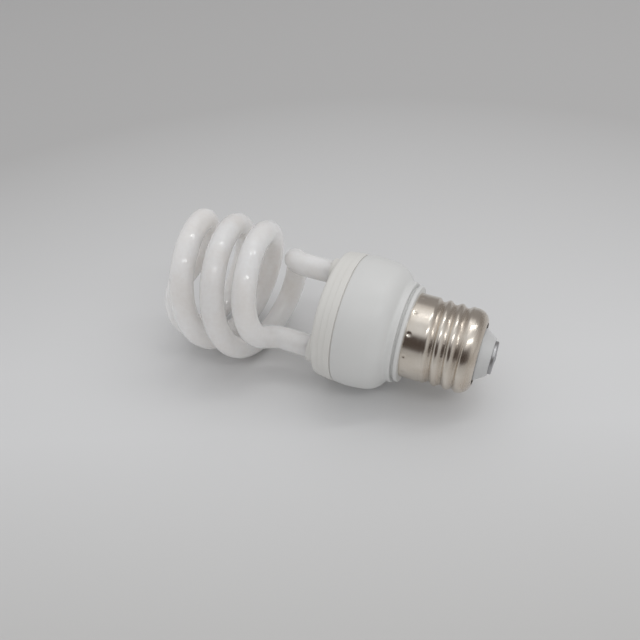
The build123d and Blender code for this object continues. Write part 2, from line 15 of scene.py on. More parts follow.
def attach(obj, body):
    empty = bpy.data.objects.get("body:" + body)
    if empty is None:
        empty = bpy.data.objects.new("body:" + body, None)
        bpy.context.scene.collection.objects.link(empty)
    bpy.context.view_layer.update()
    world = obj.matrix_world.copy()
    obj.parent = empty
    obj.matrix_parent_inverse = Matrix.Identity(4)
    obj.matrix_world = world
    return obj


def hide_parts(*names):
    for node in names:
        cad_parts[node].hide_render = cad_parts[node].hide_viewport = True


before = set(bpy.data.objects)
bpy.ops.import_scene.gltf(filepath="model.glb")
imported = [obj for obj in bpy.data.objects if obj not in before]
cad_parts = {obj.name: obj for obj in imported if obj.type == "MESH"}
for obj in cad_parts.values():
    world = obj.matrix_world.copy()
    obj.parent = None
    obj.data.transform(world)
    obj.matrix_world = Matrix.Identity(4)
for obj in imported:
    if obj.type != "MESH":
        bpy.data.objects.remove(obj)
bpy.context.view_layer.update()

LOG = logging.getLogger("bulb")
MM = 0.001
BODY = "root"
FULL_TURN = 360.0
HALF_TURN = 180.0
QUARTER_TURN = 90.0
MERGE = 1e-7  # metres between the doubles of a turned shape
SWEPT_MERGE = 1e-6  # and of a swept one
SIDE_SHARE = 0.49  # the most of a side that one corner's rounding takes

Colour = tuple[float, float, float]
Place = tuple[float, float]
Point = tuple[float, float, float]
Span = tuple[float, float]
Skin = tuple[np.ndarray, list[tuple[int, ...]]]

CLOUD: Span = (0.3, 0.7)  # the part of a noise that a cloud is drawn from


def linear(red: int, green: int, blue: int) -> Colour:
    """A screen colour as the shader's linear colour.

    Args:
        red: Red from 0 to 255.
        green: Green from 0 to 255.
        blue: Blue from 0 to 255.

    Returns:
        The three linear shares.
    """
    # The screen's usual curve: a straight foot, then a power.
    shares = [value / 255 for value in (red, green, blue)]
    return tuple(s / 12.92 if s <= 0.04045 else ((s + 0.055) / 1.055) ** 2.4 for s in shares)


def around(radius: float, degrees: float) -> Place:
    """A place at a radius and an angle from +Y towards +Z, round the lamp's axis."""
    return radius * math.cos(math.radians(degrees)), radius * math.sin(math.radians(degrees))


def eased(share: float) -> float:
    """A share of 0 to 1 that leaves 0 and reaches 1 gently."""
    return 3 * share**2 - 2 * share**3


# Shader writing


class Value:
    """An output socket that takes part in arithmetic."""

    def __init__(self, book: "NodeBook", socket: bpy.types.NodeSocket | None) -> None:
        """Keep the socket and the book that its node is in."""
        self.book = book
        self.socket = socket

    def _math(self, operation: str, *terms: Any) -> "Value":
        """One Math node on the terms."""
        inputs = dict(enumerate(terms))
        return self.book.make("ShaderNodeMath", {"operation": operation}, inputs)

    def __add__(self, other: Any) -> "Value":
        """Sum."""
        return self._math("ADD", self, other)

    __radd__ = __add__

    def __sub__(self, other: Any) -> "Value":
        """Difference."""
        return self._math("SUBTRACT", self, other)

    def __rsub__(self, other: Any) -> "Value":
        """Difference from a number."""
        return self._math("SUBTRACT", other, self)

    def __mul__(self, other: Any) -> "Value":
        """Product."""
        return self._math("MULTIPLY", self, other)

    __rmul__ = __mul__

    def __truediv__(self, other: Any) -> "Value":
        """Quotient."""
        return self._math("DIVIDE", self, other)

    def __pow__(self, other: Any) -> "Value":
        """Power."""
        return self._math("POWER", self, other)

    def clipped(self) -> "Value":
        """The value held between 0 and 1."""
        settings = {"operation": "ADD", "use_clamp": True}
        return self.book.make("ShaderNodeMath", settings, {0: self, 1: 0.0})

    def between(self, low: float, high: float) -> "Value":
        """0 at low, 1 at high, straight between them."""
        return ((self - low) / (high - low)).clipped()


class NodeBook:
    """The nodes of one material, or of the world."""

    def __init__(self, name: str, tree: bpy.types.NodeTree | None = None) -> None:
        """Start with no nodes.

        Args:
            name: The new material's name.
            tree: A tree to fill in place of a new material's.
        """
        if tree is None:
            self.material = bpy.data.materials.new(name)
            self.material.use_nodes = True
            tree = self.material.node_tree
        self.tree = tree
        self.tree.nodes.clear()

    def make(self, kind: str, settings: dict[str, Any] | None = None,
             inputs: dict[int | str, Any] | None = None, output: int | str = 0) -> Value:
        """Make any node.

        Args:
            kind: The node's type.
            settings: Its properties.
            inputs: Values or links by socket name or number.
            output: The output socket to hand back.

        Returns:
            The chosen output.
        """
        node = self.tree.nodes.new(kind)
        for key, value in (settings or {}).items():
            setattr(node, key, value)
        for key, value in (inputs or {}).items():
            if isinstance(value, Value):
                self.tree.links.new(value.socket, node.inputs[key])
            else:
                node.inputs[key].default_value = value
        return Value(self, node.outputs[output] if len(node.outputs) else None)

    def place(self) -> Value:
        """Object coordinates, in metres."""
        return self.make("ShaderNodeTexCoord", output="Object")

    def noise(self, scale: float, detail: float = 3.0, vector: Value | None = None) -> Value:
        """Noise of a scale per metre."""
        inputs = {"Vector": vector or self.place(), "Scale": scale, "Detail": detail}
        return self.make("ShaderNodeTexNoise", inputs=inputs, output="Fac")

    def stretched(self, along: Point) -> Value:
        """Object coordinates scaled by a factor on each axis."""
        return self.make("ShaderNodeMapping", inputs={"Vector": self.place(), "Scale": along})

    def along_axis(self, vector: Value, axis: int) -> Value:
        """One of a vector's three parts."""
        return self.make("ShaderNodeSeparateXYZ", inputs={0: vector}, output=axis)

    def radius(self) -> Value:
        """Distance from the lamp's axis, in millimetres."""
        y, z = self.along_axis(self.place(), 1), self.along_axis(self.place(), 2)
        return (y * y + z * z) ** 0.5 * (1 / MM)

    def run(self, heading: Point) -> Value:
        """Distance along a heading.

        Args:
            heading: The direction, one long.

        Returns:
            The distance in millimetres.
        """
        product = self.make("ShaderNodeVectorMath", {"operation": "DOT_PRODUCT"},
                            {0: self.place(), 1: heading}, output="Value")
        return product * (1 / MM)

    def blend(self, share: Value, first: Colour | Value, second: Colour | Value) -> Value:
        """A colour between two.

        Args:
            share: How much of the second it takes.
            first: The colour at 0.
            second: The colour at 1.

        Returns:
            The colour.
        """
        colours = [c if isinstance(c, Value) else (*c, 1.0) for c in (first, second)]
        return self.make("ShaderNodeMix", {"data_type": "RGBA"},
                         {"Factor": share, 6: colours[0], 7: colours[1]}, output=2)

    def bump(self, height: Value, depth_mm: float) -> Value:
        """Surface normal from a height of 0 to 1."""
        inputs = {"Height": height, "Strength": 1.0, "Distance": depth_mm * MM}
        return self.make("ShaderNodeBump", inputs=inputs)

    def finish(self, inputs: dict[str, Any]) -> bpy.types.Material:
        """Close the material with one Principled shader.

        Args:
            inputs: Values or links of the shader's sockets.

        Returns:
            The material.
        """
        shader = self.make("ShaderNodeBsdfPrincipled", inputs=inputs)
        self.make("ShaderNodeOutputMaterial", inputs={"Surface": shader})
        return self.material


# Finishes


@dataclass(frozen=True)
class CoatedGlass:
    """Clear glass over a white inner coat, seen as a milky body under a gloss."""

    name: str
    pale: Colour = linear(225, 223, 221)
    warm: Colour = linear(213, 207, 202)
    patch_scale: float = 90.0
    patch_span: Span = (0.38, 0.66)
    patch_share: float = 0.7
    powder_scale: float = 900.0
    powder_span: Span = (0.3, 0.75)
    powder_roughness: float = 0.12
    roughness: float = 0.5
    specular: float = 0.1
    milk: float = 1.0
    milk_reach: Point = (1.0, 0.97, 0.93)
    milk_depth: float = 0.03
    gloss: float = 1.0
    gloss_roughness: float = 0.1
    glass_index: float = 1.5

    def build(self) -> bpy.types.Material:
        """Make the material.

        Returns:
            The material.
        """
        book = NodeBook(self.name)
        patches = book.noise(self.patch_scale, 2.0).between(*self.patch_span)
        powder = book.noise(self.powder_scale, 4.0).between(*self.powder_span)
        share = patches * self.patch_share + powder * (1 - self.patch_share)
        return book.finish({
            "Base Color": book.blend(share, self.pale, self.warm),
            "Roughness": self.roughness + powder * self.powder_roughness,
            "Specular IOR Level": self.specular,
            "Subsurface Weight": self.milk,
            "Subsurface Radius": self.milk_reach,
            "Subsurface Scale": self.milk_depth,
            "Coat Weight": self.gloss,
            "Coat Roughness": self.gloss_roughness,
            "Coat IOR": self.glass_index,
        })


class Grain(Enum):
    """How a moulded or cast surface feels: the grain's scale per metre and its depth in mm."""

    SATIN = (2600.0, 0.012)
    FINE = (5200.0, 0.006)
    COARSE = (1500.0, 0.03)


@dataclass(frozen=True)
class Moulded:
    """Moulded plastic, resin or ceramic of one colour with a faint cloud in it."""

    name: str
    colour: Colour
    shade: Colour
    roughness: float = 0.42
    grain: Grain = Grain.SATIN
    gloss: float = 0.0
    gloss_roughness: float = 0.12
    grain_roughness: float = 0.12
    cloud_scale: float = 45.0

    def build(self) -> bpy.types.Material:
        """Make the material.

        Returns:
            The material.
        """
        book = NodeBook(self.name)
        scale, depth = self.grain.value
        cloud = book.noise(self.cloud_scale, 2.0).between(*CLOUD)
        grain = book.noise(scale, 2.0)
        return book.finish({
            "Base Color": book.blend(cloud, self.colour, self.shade),
            "Roughness": self.roughness + (grain - 0.5) * self.grain_roughness,
            "Normal": book.bump(grain, depth),
            "Coat Weight": self.gloss,
            "Coat Roughness": self.gloss_roughness,
        })


@dataclass(frozen=True)
class Plated:
    """Plated sheet metal, spun round the lamp's axis, dulled where it is rarely rubbed."""

    name: str
    bright: Colour
    dull: Colour
    bright_radius: float = 13.0
    dull_radius: float = 12.2
    roughness: float = 0.2
    spin_scale: float = 240.0
    spin_stretch: Point = (9.0, 0.7, 0.7)
    spin_roughness: float = 0.14
    spin_depth: float = 0.006
    cloud_scale: float = 170.0
    cloud_span: Span = (0.35, 0.7)
    hollow_share: float = 0.55
    worn_roughness: float = 0.1

    def build(self) -> bpy.types.Material:
        """Make the material.

        Returns:
            The material.
        """
        book = NodeBook(self.name)
        spun = book.noise(self.spin_scale, 4.0, book.stretched(self.spin_stretch))
        cloud = book.noise(self.cloud_scale, 3.0).between(*self.cloud_span)
        hollow = 1 - book.radius().between(self.dull_radius, self.bright_radius)
        worn = (hollow * self.hollow_share + cloud * (1 - self.hollow_share)).clipped()
        rough = self.roughness + worn * self.worn_roughness + (spun - 0.5) * self.spin_roughness
        return book.finish({
            "Base Color": book.blend(worn, self.bright, self.dull),
            "Metallic": 1.0,
            "Roughness": rough,
            "Normal": book.bump(spun, self.spin_depth),
        })


@dataclass(frozen=True)
class Metal:
    """Small bare or enamelled metal: wire, solder and pins."""

    name: str
    colour: Colour
    shade: Colour
    roughness: float = 0.3
    lump: float = 0.01
    lump_scale: float = 1800.0
    lump_roughness: float = 0.2

    def build(self) -> bpy.types.Material:
        """Make the material.

        Returns:
            The material.
        """
        book = NodeBook(self.name)
        cloud = book.noise(self.lump_scale, 3.0)
        return book.finish({
            "Base Color": book.blend(cloud.between(*CLOUD), self.colour, self.shade),
            "Metallic": 1.0,
            "Roughness": self.roughness + (cloud - 0.5) * self.lump_roughness,
            "Normal": book.bump(cloud, self.lump),
        })


@dataclass(frozen=True)
class Laminate:
    """Brown paper-based board with its fibres."""

    name: str
    colour: Colour = linear(176, 140, 88)
    fibre: Colour = linear(150, 112, 64)
    fibre_scale: float = 900.0
    fibre_stretch: Point = (1.0, 4.0, 0.6)
    fibre_span: Span = (0.35, 0.65)
    fibre_roughness: float = 0.2
    fibre_depth: float = 0.01
    roughness: float = 0.55

    def build(self) -> bpy.types.Material:
        """Make the material.

        Returns:
            The material.
        """
        book = NodeBook(self.name)
        weave = book.noise(self.fibre_scale, 4.0, book.stretched(self.fibre_stretch))
        return book.finish({
            "Base Color": book.blend(weave.between(*self.fibre_span), self.colour, self.fibre),
            "Roughness": self.roughness + (weave - 0.5) * self.fibre_roughness,
            "Normal": book.bump(weave, self.fibre_depth),
        })


@dataclass(frozen=True)
class PaleFloorWithPaintedLight:
    """Matt floor with painted light: a painted pool of light makes it brightest round the bulb,
    and painted falloff makes it darker far behind it, at the sides and in front.
    """

    yaw: float
    name: str = "floor_pale_painted_light"
    # Painted light: the bright colour is a pool of light painted round the bulb, and far and near
    # are its painted falloff.
    bright: Colour = linear(215, 215, 215)
    far: Colour = linear(181, 180, 179)
    near: Colour = linear(191, 190, 188)
    far_span: Span = (20.0, 250.0)
    near_span: Span = (-10.0, -85.0)
    side_shift: float = 51.0
    side_width: float = 200.0
    side_share: float = 0.35
    cloud_scale: float = 6.0
    cloud_roughness: float = 0.1
    roughness: float = 0.6
    specular: float = 0.3

    def build(self) -> bpy.types.Material:
        """Make the material.

        Returns:
            The material.
        """
        book = NodeBook(self.name)
        cos, sin = math.cos(math.radians(self.yaw)), math.sin(math.radians(self.yaw))
        depth, side = book.run((-sin, cos, 0.0)), book.run((cos, sin, 0.0))
        # Painted light falloff: the floor's colour darkens with distance behind the bulb, in
        # front of it and to the sides.
        painted_side_falloff = side + self.side_shift
        painted_side_falloff = painted_side_falloff * painted_side_falloff * (1 / self.side_width**2)
        cloud = book.noise(self.cloud_scale, 2.0)
        far = (depth.between(*self.far_span) + painted_side_falloff * self.side_share).clipped()
        painted_light_ground = book.blend(depth.between(*self.near_span), self.bright, self.near)
        return book.finish({
            "Base Color": book.blend(far, painted_light_ground, self.far),
            "Roughness": self.roughness + cloud * self.cloud_roughness,
            "Specular IOR Level": self.specular,
        })


GLASS = CoatedGlass("milky_glass")
COVER = Moulded("holder_white", linear(221, 220, 216), linear(215, 213, 208), 0.4)
CASE = Moulded("housing_white", linear(216, 216, 214), linear(210, 210, 208), 0.38)
NICKEL = Plated("cap_nickel", linear(230, 223, 213), linear(200, 188, 174))
TIP = Plated("contact_nickel", linear(190, 190, 191), linear(160, 160, 162), 5.0, 1.0, 0.42)
VITREOUS = Moulded("insulator_grey", linear(206, 206, 205), linear(194, 194, 193), 0.3,
                   Grain.FINE, 0.5)
SOLDER = Metal("tin_solder", linear(190, 190, 190), linear(160, 160, 162), 0.35, 0.03)
CEMENT = Moulded("cement_white", linear(228, 226, 218), linear(214, 210, 200), 0.7, Grain.COARSE)
BOARD = Laminate("board_paper")
COPPER = Metal("copper_enamel", linear(196, 118, 72), linear(160, 84, 46), 0.28)
TINNED = Metal("tinned_wire", linear(196, 196, 194), linear(170, 170, 168))
FERRITE = Moulded("ferrite_grey", linear(62, 62, 66), linear(46, 46, 50), 0.55, Grain.COARSE)
BOBBIN = Moulded("bobbin_black", linear(38, 38, 42), linear(28, 28, 32), 0.35)
SLEEVE = Moulded("sleeve_dark", linear(34, 36, 46), linear(26, 28, 38), 0.3, Grain.FINE, 0.3)
DIPPED = Moulded("dipped_brown", linear(150, 62, 34), linear(126, 46, 24), 0.3, Grain.FINE, 0.5)
RESIN = Moulded("resin_black", linear(32, 32, 34), linear(22, 22, 24), 0.5, Grain.COARSE)
LACQUER = Moulded("lacquer_tan", linear(196, 172, 134), linear(176, 150, 112), 0.3,
                  Grain.FINE, 0.5)

NODE_FINISHES: dict[str, Any] = {
    "leg_cement": CEMENT, "circuit_board": BOARD, "wrap_posts": TINNED,
    "filament_leads": TINNED, "centre_wire": TINNED, "shell_wire": TINNED,
    "choke_core": FERRITE, "choke_bobbin": BOBBIN, "choke_winding": COPPER,
    "bulk_capacitor": SLEEVE, "drive_ring": FERRITE, "drive_windings": COPPER,
    "resonant_capacitor": DIPPED, "blocking_capacitor": DIPPED, "filter_core": FERRITE,
    "filter_winding": COPPER, "transistors": RESIN, "rectifier_diodes": RESIN,
    "start_resistors": LACQUER, "trigger_diac": RESIN, "fusible_resistor": LACQUER,
}


class FinishShelf:
    """Builds each finish once and hands it out."""

    def __init__(self) -> None:
        """Start with none made."""
        self.made: dict[str, bpy.types.Material] = {}

    def get(self, finish: Any) -> bpy.types.Material:
        """The material of a finish.

        Args:
            finish: The finish.

        Returns:
            Its one material.
        """
        if finish.name not in self.made:
            self.made[finish.name] = finish.build()
        return self.made[finish.name]


# Mesh tools


def soften(corners: Sequence[Point], steps: int) -> list[Place]:
    """Round the corners of a closed outline.

    Args:
        corners: X, radius and rounding of each corner, in millimetres.
        steps: Pieces of each rounding.

    Returns:
        The outline's points.
    """
    outline: list[Place] = []
    count = len(corners)
    for index, (x, r, rounding) in enumerate(corners):
        here = np.array((x, r))
        if rounding <= 0:
            outline.append((x, r))
            continue
        back = np.array(corners[index - 1][:2]) - here
        ahead = np.array(corners[(index + 1) % count][:2]) - here
        back_length, ahead_length = np.linalg.norm(back), np.linalg.norm(ahead)
        back, ahead = back / back_length, ahead / ahead_length
        half = math.acos(float(np.clip(back @ ahead, -1, 1))) / 2
        run = min(rounding / math.tan(half), SIDE_SHARE * back_length, SIDE_SHARE * ahead_length)
        real = run * math.tan(half)
        middle = here + (back + ahead) / np.linalg.norm(back + ahead) * real / math.sin(half)
        first, last = here + back * run - middle, here + ahead * run - middle
        start = math.atan2(first[1], first[0])
        turn = (math.atan2(last[1], last[0]) - start + math.pi) % (2 * math.pi) - math.pi
        for step in range(steps + 1):
            angle = start + turn * step / steps
            outline.append((middle[0] + real * math.cos(angle),
                            middle[1] + real * math.sin(angle)))
    return outline


def arc(centre: Place, radius: float, start: float, end: float, steps: int) -> list[Point]:
    """Corners along an arc of an outline.

    Args:
        centre: X and radius of its middle.
        radius: Its own radius.
        start: First angle, in degrees from the outward radius towards +X.
        end: Last angle.
        steps: Pieces of the arc.

    Returns:
        X, radius and a rounding of 0 for each corner.
    """
    x, r = centre
    angles = [math.radians(start + (end - start) * step / steps) for step in range(steps + 1)]
    return [(x + radius * math.sin(a), r + radius * math.cos(a), 0.0) for a in angles]


def add_object(name: str, mesh: bpy.types.Mesh) -> bpy.types.Object:
    """Put a mesh in the scene.

    Args:
        name: The object's name.
        mesh: The mesh.

    Returns:
        The object.
    """
    piece = bpy.data.objects.new(name, mesh)
    bpy.context.scene.collection.objects.link(piece)
    return piece


def weld(mesh: bpy.types.Mesh, distance: float) -> None:
    """Merge a mesh's doubles and turn its faces outwards.

    Args:
        mesh: The mesh.
        distance: Corners nearer than this become one, in metres.
    """
    work = bmesh.new()
    work.from_mesh(mesh)
    bmesh.ops.remove_doubles(work, verts=work.verts, dist=distance)
    bmesh.ops.recalc_face_normals(work, faces=work.faces)
    work.to_mesh(mesh)
    work.free()


def closed_mesh(name: str, points: np.ndarray, faces: list[tuple[int, ...]],
                sharp: float = 40.0) -> bpy.types.Mesh:
    """A closed smooth mesh with outward faces.

    Args:
        name: The mesh's name.
        points: Corners in millimetres.
        faces: Corner numbers of each face.
        sharp: Edges that fold by more degrees than this stay sharp.

    Returns:
        The mesh, in metres.
    """
    mesh = bpy.data.meshes.new(name)
    mesh.from_pydata((points * MM).tolist(), [], faces)
    weld(mesh, MERGE)
    mesh.shade_smooth()
    mesh.set_sharp_from_angle(angle=math.radians(sharp))
    return mesh


def ring_grid(outlines: Iterable[Sequence[Place]], angles: Sequence[float],
              place: Place = (0.0, 0.0)) -> Skin:
    """Turn closed outlines round the axis into one closed skin.

    Args:
        outlines: The outline of X and radius at each angle.
        angles: The angles, in degrees.
        place: Y and Z of the axis.

    Returns:
        The points and the faces.
    """
    points: list[Point] = []
    for outline, degrees in zip(outlines, angles):
        for x, r in outline:
            y, z = around(max(r, 0.0), degrees)
            points.append((x, y + place[0], z + place[1]))
    size = len(points) // len(angles)
    faces = []
    for column in range(len(angles)):
        near, far = column * size, ((column + 1) % len(angles)) * size
        for row in range(size):
            ahead = (row + 1) % size
            faces.append((near + row, near + ahead, far + ahead, far + row))
    return np.array(points), faces


def lathe(outline: Sequence[Place], segments: int, place: Place = (0.0, 0.0)) -> Skin:
    """Turn one outline round an axis along X.

    Args:
        outline: X and radius of each point.
        segments: Pieces of the full turn.
        place: Y and Z of the axis.

    Returns:
        The points and the faces.
    """
    angles = [FULL_TURN * index / segments for index in range(segments)]
    return ring_grid([outline] * segments, angles, place)


def joined(shapes: Sequence[Skin]) -> Skin:
    """Join several skins.

    Args:
        shapes: Points and faces of each.

    Returns:
        One set of points and faces.
    """
    points, faces, base = [], [], 0
    for shape_points, shape_faces in shapes:
        points.append(shape_points)
        faces += [tuple(index + base for index in face) for face in shape_faces]
        base += len(shape_points)
    return np.vstack(points), faces


def grown(carrier: bpy.types.Object, tree: bpy.types.NodeTree, values: dict[str, Any],
          name: str, sharp: float) -> bpy.types.Mesh:
    """Run a geometry node tree on an object and keep the result as a plain mesh.

    Args:
        carrier: The object that holds the starting geometry. It is removed.
        tree: The tree.
        values: The tree's inputs by name.
        name: The new mesh's name.
        sharp: Edges that fold by more degrees than this stay sharp.

    Returns:
        The mesh.
    """
    modifier = carrier.modifiers.new("grow", "NODES")
    modifier.node_group = tree
    for item in tree.interface.items_tree:
        if item.item_type == "SOCKET" and item.in_out == "INPUT" and item.name in values:
            modifier[item.identifier] = values[item.name]
    carrier.update_tag()
    bpy.context.view_layer.update()
    evaluated = carrier.evaluated_get(bpy.context.evaluated_depsgraph_get())
    mesh = bpy.data.meshes.new_from_object(evaluated)
    mesh.name = name
    weld(mesh, SWEPT_MERGE)
    mesh.set_sharp_from_angle(angle=math.radians(sharp))
    carrier.modifiers.remove(modifier)
    bpy.data.objects.remove(carrier)
    return mesh


# Sub-assemblies


@dataclass
class Piece:
    """What every sub-assembly shares: dressing a mesh and tying it to the solid it stands for."""

    shelf: FinishShelf

    def dress(self, name: str, mesh: bpy.types.Mesh, finish: Any, slot: str,
              nodes: Sequence[str]) -> bpy.types.Object:
        """Put a mesh in the scene with its finish and its place in the frame.

        Args:
            name: The piece's name.
            mesh: Its mesh, in place.
            finish: Its finish.
            slot: Not used.
            nodes: The solids it stands for.

        Returns:
            The piece.
        """
        piece = add_object(name, mesh)
        piece.data.materials.clear()
        piece.data.materials.append(self.shelf.get(finish))
        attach(piece, BODY)
        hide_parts(*nodes)
        LOG.info("%s: %d faces", piece.name, len(piece.data.polygons))
        return piece


@dataclass
class GlassCoil(Piece):
    """The discharge tube: two strands wound from two legs and joined across the far end."""

    tube_r: float = 3.7
    leg_circle_r: float = 12.3
    leg_angle: float = 44.0
    leg_end_x: float = -45.6
    coil_start_x: float = -68.9
    leg_bend_rise: float = 5.2
    coil_r: float = 19.55
    pitch: float = 21.4
    travel: float = 505.0
    ease: float = 90.0
    first: float = 18.0
    bridge_r: float = 9.5
    bridge_rise: float = 3.3
    leg_points: int = 16
    bend_points: int = 14
    coil_points: int = 200
    bridge_points: int = 24
    middle_points: int = 8
    section_sides: int = 40
    step_mm: float = 0.9
    sharp: float = 50.0

    def strand(self, travel: float) -> np.ndarray:
        """Centre of the glass after some winding.

        Args:
            travel: The winding, in degrees.

        Returns:
            X, Y and Z in millimetres.
        """
        growth = math.sin(math.radians(QUARTER_TURN * min(travel / self.ease, 1)))
        radius = self.leg_circle_r + (self.coil_r - self.leg_circle_r) * growth
        return np.array((self.coil_start_x - self.pitch * travel / FULL_TURN,
                         *around(radius, self.leg_angle - travel)))

    def leg_and_bend(self) -> list[np.ndarray]:
        """The straight leg and the bend that leads it into the coil.

        Returns:
            The centre line's points, in millimetres.
        """
        start = self.strand(self.first)
        heading = self.strand(self.first + 1) - self.strand(self.first - 1)
        heading /= np.linalg.norm(heading)
        leg = np.array((self.leg_end_x, *around(self.leg_circle_r, self.leg_angle)))
        knee = np.array((start[0] + self.leg_bend_rise, leg[1], leg[2]))
        reach = np.linalg.norm(start - knee)
        down = np.array((-1.0, 0.0, 0.0))
        shares = np.linspace(0, 1, self.leg_points, endpoint=False)
        points = [leg + (knee - leg) * share for share in shares]
        # The bend is a cubic that leaves along the leg and meets the coil along its heading.
        for t in np.linspace(0, 1, self.bend_points, endpoint=False):
            points.append((2 * t**3 - 3 * t**2 + 1) * knee + (t**3 - 2 * t**2 + t) * reach * down
                          + (3 * t**2 - 2 * t**3) * start + (t**3 - t**2) * reach * heading)
        return points

    def bridge(self) -> list[np.ndarray]:
        """From the end of the coil round to the axis.

        Returns:
            The centre line's points, in millimetres.
        """
        end_angle = self.leg_angle - self.travel
        lean = math.degrees(math.asin(self.bridge_r / (self.coil_r - self.bridge_r)))
        turn = QUARTER_TURN + lean
        length = self.bridge_r * math.radians(turn)
        slope = self.pitch / (2 * math.pi * self.coil_r)
        middle = around(self.coil_r - self.bridge_r, end_angle)
        points = []
        for share in np.linspace(0, 1, self.bridge_points)[1:]:
            offset = around(self.bridge_r, end_angle - turn * share)
            rise = slope * length * (share - share**2 / 2) + self.bridge_rise * eased(share)
            x = self.strand(self.travel)[0] - rise
            points.append(np.array((x, middle[0] + offset[0], middle[1] + offset[1])))
        last, axis_point = points[-1], np.array((points[-1][0], 0.0, 0.0))
        shares = np.linspace(0, 1, self.middle_points)[1:]
        return points + [last + (axis_point - last) * share for share in shares]

    def route(self) -> np.ndarray:
        """The whole centre line, from one leg's end to the other's.

        Returns:
            A row of X, Y and Z for each point, in millimetres.
        """
        half = self.leg_and_bend()
        winding = np.linspace(self.first, self.travel, self.coil_points)
        half += [self.strand(travel) for travel in winding]
        half += self.bridge()
        first = np.array(half)
        second = first[::-1][1:] * np.array((1.0, -1.0, -1.0))
        return np.vstack((first, second))

    def tree(self) -> bpy.types.NodeTree:
        """Nodes that sweep the glass along its centre line and close its ends.

        Returns:
            The tree.
        """
        tree = bpy.data.node_groups.new("glass_tube", "GeometryNodeTree")
        kinds = {"Line": "Geometry", "Tube radius": "Float", "Section sides": "Int",
                 "Step": "Float", "Glass": "Material"}
        for label, kind in kinds.items():
            tree.interface.new_socket(label, in_out="INPUT", socket_type=f"NodeSocket{kind}")
        tree.interface.new_socket("Tube", in_out="OUTPUT", socket_type="NodeSocketGeometry")
        start, end = tree.nodes.new("NodeGroupInput"), tree.nodes.new("NodeGroupOutput")
        to_curve, resample, normal, section, sweep, smooth, realize, paint = (
            tree.nodes.new(f"GeometryNode{kind}") for kind in (
                "MeshToCurve", "ResampleCurve", "SetCurveNormal", "CurvePrimitiveCircle",
                "CurveToMesh", "SetShadeSmooth", "RealizeInstances", "SetMaterial"))
        resample.mode = "LENGTH"
        sweep.inputs["Fill Caps"].default_value = True
        for source, target in (
            (start.outputs["Line"], to_curve.inputs[0]),
            (to_curve.outputs[0], resample.inputs["Curve"]),
            (start.outputs["Step"], resample.inputs["Length"]),
            (resample.outputs[0], normal.inputs[0]),
            (normal.outputs[0], sweep.inputs["Curve"]),
            (start.outputs["Section sides"], section.inputs["Resolution"]),
            (start.outputs["Tube radius"], section.inputs["Radius"]),
            (section.outputs[0], sweep.inputs["Profile Curve"]),
            (sweep.outputs[0], smooth.inputs[0]),
            (smooth.outputs[0], realize.inputs[0]),
            (realize.outputs[0], paint.inputs["Geometry"]),
            (start.outputs["Glass"], paint.inputs["Material"]),
            (paint.outputs[0], end.inputs[0]),
        ):
            tree.links.new(source, target)
        return tree

    def build(self) -> bpy.types.Object:
        """Make the tube and dress it.

        Returns:
            The tube.
        """
        route = self.route() * MM
        line = bpy.data.meshes.new("glass_coil_line")
        line.from_pydata(route.tolist(), [(i, i + 1) for i in range(len(route) - 1)], [])
        carrier = add_object("glass_coil_line", line)
        values = {"Tube radius": self.tube_r * MM, "Section sides": self.section_sides,
                  "Step": self.step_mm * MM, "Glass": self.shelf.get(GLASS)}
        mesh = grown(carrier, self.tree(), values, "glass_coil", self.sharp)
        return self.dress("glass_coil", mesh, GLASS, "glass_coat", ["discharge_tube"])


